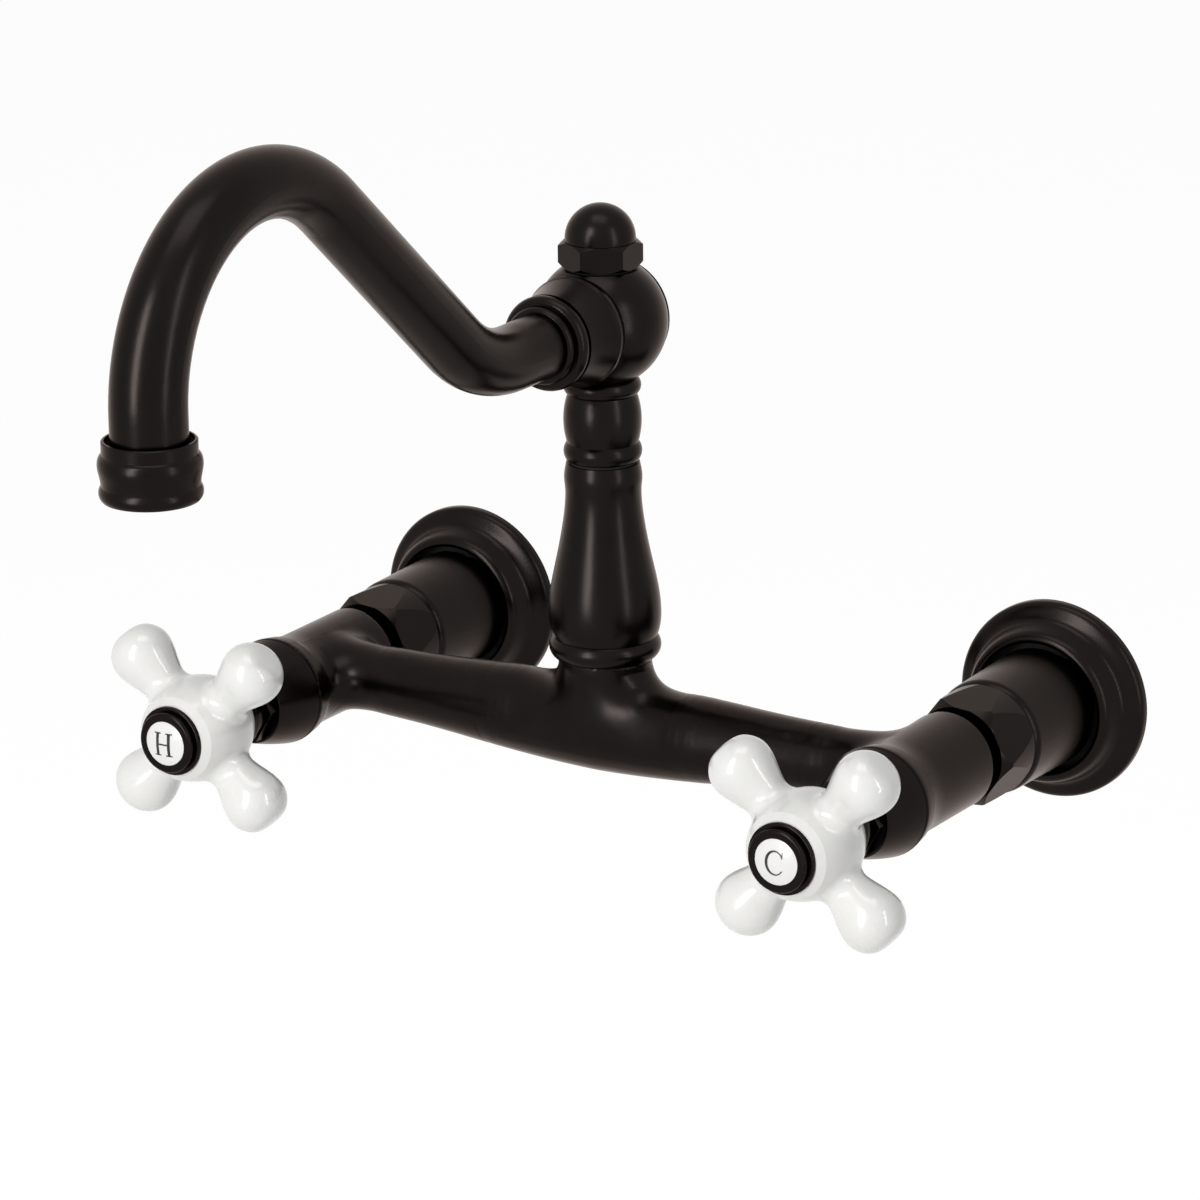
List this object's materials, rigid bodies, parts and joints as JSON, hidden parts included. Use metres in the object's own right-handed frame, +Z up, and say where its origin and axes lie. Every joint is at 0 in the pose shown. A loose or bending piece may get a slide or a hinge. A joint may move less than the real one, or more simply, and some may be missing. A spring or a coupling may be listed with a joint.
{
  "type": "wall-mounted bridge faucet",
  "caption": "Wall-mounted bridge faucet: a swivelling gooseneck spout on a turned column between two valves with porcelain cross handles.",
  "frame": {"origin": "midway between the two wall inlets, on the wall's plane", "axes": "+Z up, +X to the right as the user faces the faucet, +Y into the wall, so the faucet stands out towards -Y"},
  "size_m": [0.2628, 0.3179, 0.2336],
  "materials": {
    "bronze": "dark oil-rubbed bronze over brass, satin",
    "porcelain": "white glazed porcelain, glossy",
    "brass": "bare machined brass",
    "rubber": "matt black",
    "fibre": "matt red fibre",
    "nylon": "matt white",
    "black_nylon": "matt black",
    "stainless": "bright",
    "ceramic": "lapped white ceramic"
  },
  "bodies": {
    "fixed_body": {"bridge_body": "bronze", "spout_column": "bronze", "acorn_nut": "bronze", "column_seal": "rubber", "thrust_washer": "black_nylon", "swivel_post": "brass", "post_rings": "rubber", "cap_washer": "black_nylon", "hot_wall_flange": "bronze", "hot_flange_seal": "rubber", "hot_union_coupling": "bronze", "hot_union_washer": "fibre", "hot_union_nut": "bronze", "hot_tailpiece": "bronze", "hot_seat_seal": "rubber", "hot_fixed_disc": "ceramic", "hot_cartridge_body": "bronze", "hot_body_ring": "rubber", "hot_bonnet_collar": "bronze", "cold_wall_flange": "bronze", "cold_flange_seal": "rubber", "cold_union_coupling": "bronze", "cold_union_washer": "fibre", "cold_union_nut": "bronze", "cold_tailpiece": "bronze", "cold_seat_seal": "rubber", "cold_fixed_disc": "ceramic", "cold_cartridge_body": "bronze", "cold_body_ring": "rubber", "cold_bonnet_collar": "bronze"},
    "spout": {"swivel_head": "bronze", "head_plug": "bronze", "spout_socket": "bronze", "spout_collar": "bronze", "spout_tube": "bronze", "aerator_housing": "bronze", "aerator_washer": "rubber", "aerator_insert": "nylon", "aerator_screen": "stainless"},
    "hot_handle": {"hot_moving_disc": "ceramic", "hot_stem": "brass", "hot_stem_rings": "rubber", "hot_stem_clip": "stainless", "hot_handle_ferrule": "bronze", "hot_cross_handle": "porcelain", "hot_handle_insert": "brass", "hot_handle_screw": "stainless", "hot_button_bezel": "bronze", "hot_index_button": "porcelain"},
    "cold_handle": {"cold_moving_disc": "ceramic", "cold_stem": "brass", "cold_stem_rings": "rubber", "cold_stem_clip": "stainless", "cold_handle_ferrule": "bronze", "cold_cross_handle": "porcelain", "cold_handle_insert": "brass", "cold_handle_screw": "stainless", "cold_button_bezel": "bronze", "cold_index_button": "porcelain"}
  },
  "joints": [
    {"name": "spout_swivel", "type": "hinge", "parent": "fixed_body", "child": "spout", "pos_m": [0, -0.0866, 0], "axis": [0, 0, 1], "range_deg": [-105, 105]},
    {"name": "hot_handle_turn", "type": "hinge", "parent": "fixed_body", "child": "hot_handle", "pos_m": [-0.1016, 0, 0], "axis": [0, -1, 0], "range_deg": [0, 90]},
    {"name": "cold_handle_turn", "type": "hinge", "parent": "fixed_body", "child": "cold_handle", "pos_m": [0.1016, 0, 0], "axis": [0, -1, 0], "range_deg": [-90, 0]}
  ]
}
